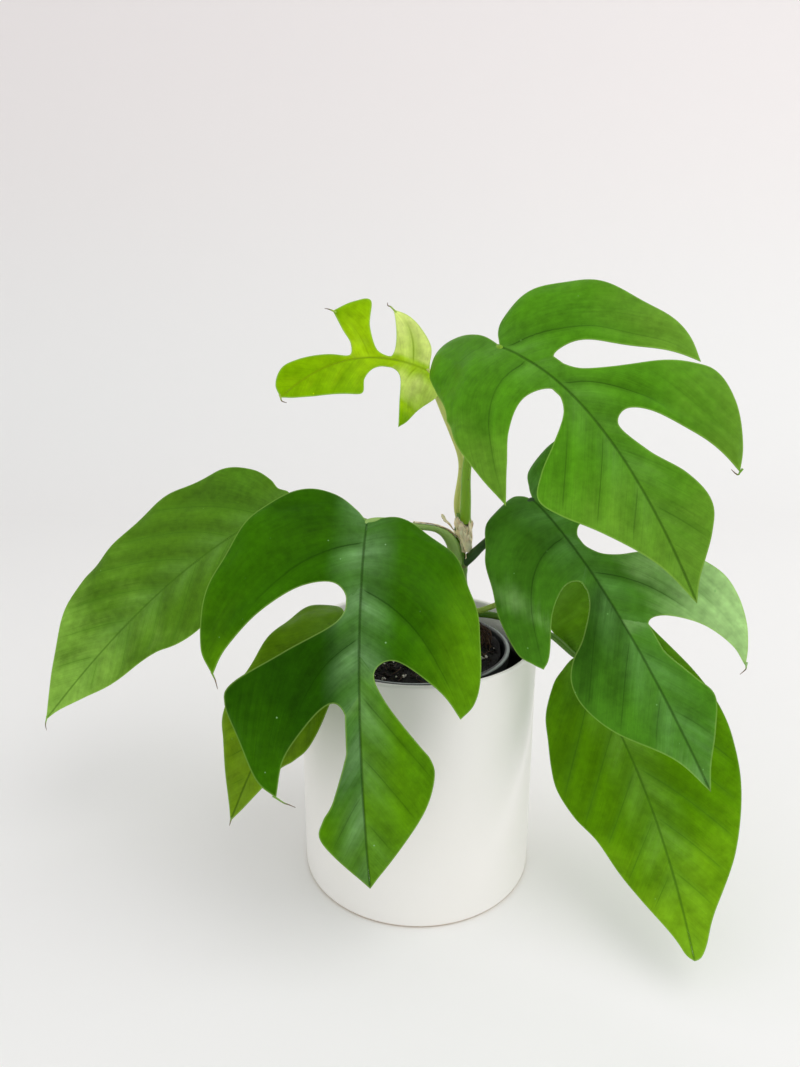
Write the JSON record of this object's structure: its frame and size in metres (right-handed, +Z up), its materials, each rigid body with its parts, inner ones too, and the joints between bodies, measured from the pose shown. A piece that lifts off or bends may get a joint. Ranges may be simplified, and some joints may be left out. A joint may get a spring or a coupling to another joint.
{
  "type": "potted mini monstera",
  "caption": "Young climbing houseplant with split dark green leaves on one stem, in a black nursery pot of soil inside a straight white ceramic cover pot.",
  "frame": {"origin": "middle of the cover pot's flat base, on the surface that it stands on", "axes": "+Z up, +X to the right and -Y towards the viewer as the picture sees the plant"},
  "size_m": [0.3383, 0.1603, 0.2994],
  "materials": {
    "glazed_ceramic": "smooth white glaze, softly glossy",
    "black_plastic": "satin moulded plastic with a grey scuffed rim",
    "potting_soil": "dark moist potting mix with coir fibres and white perlite",
    "stem_skin": "smooth green living stem with paler nodes",
    "dried_sheath": "dry straw-brown papery sheath",
    "dark_leaf": "leathery semi-gloss dark green leaf, silvery along the midrib",
    "mid_leaf": "leathery semi-gloss mid green leaf",
    "bright_leaf": "leathery semi-gloss bright green leaf",
    "new_leaf": "soft translucent lime green new leaf"
  },
  "bodies": {
    "root": {"cover_pot": "glazed_ceramic", "nursery_pot": "black_plastic", "soil": "potting_soil", "stem": "stem_skin", "stem_sheath": "dried_sheath", "petiole_sheath": "dried_sheath", "leaf_front_left": "dark_leaf", "leaf_back_left": "mid_leaf", "leaf_low_left": "mid_leaf", "leaf_new_top": "new_leaf", "leaf_top_right": "mid_leaf", "leaf_middle_right": "dark_leaf", "leaf_low_right": "bright_leaf", "young_shoot": "new_leaf"}
  },
  "joints": []
}
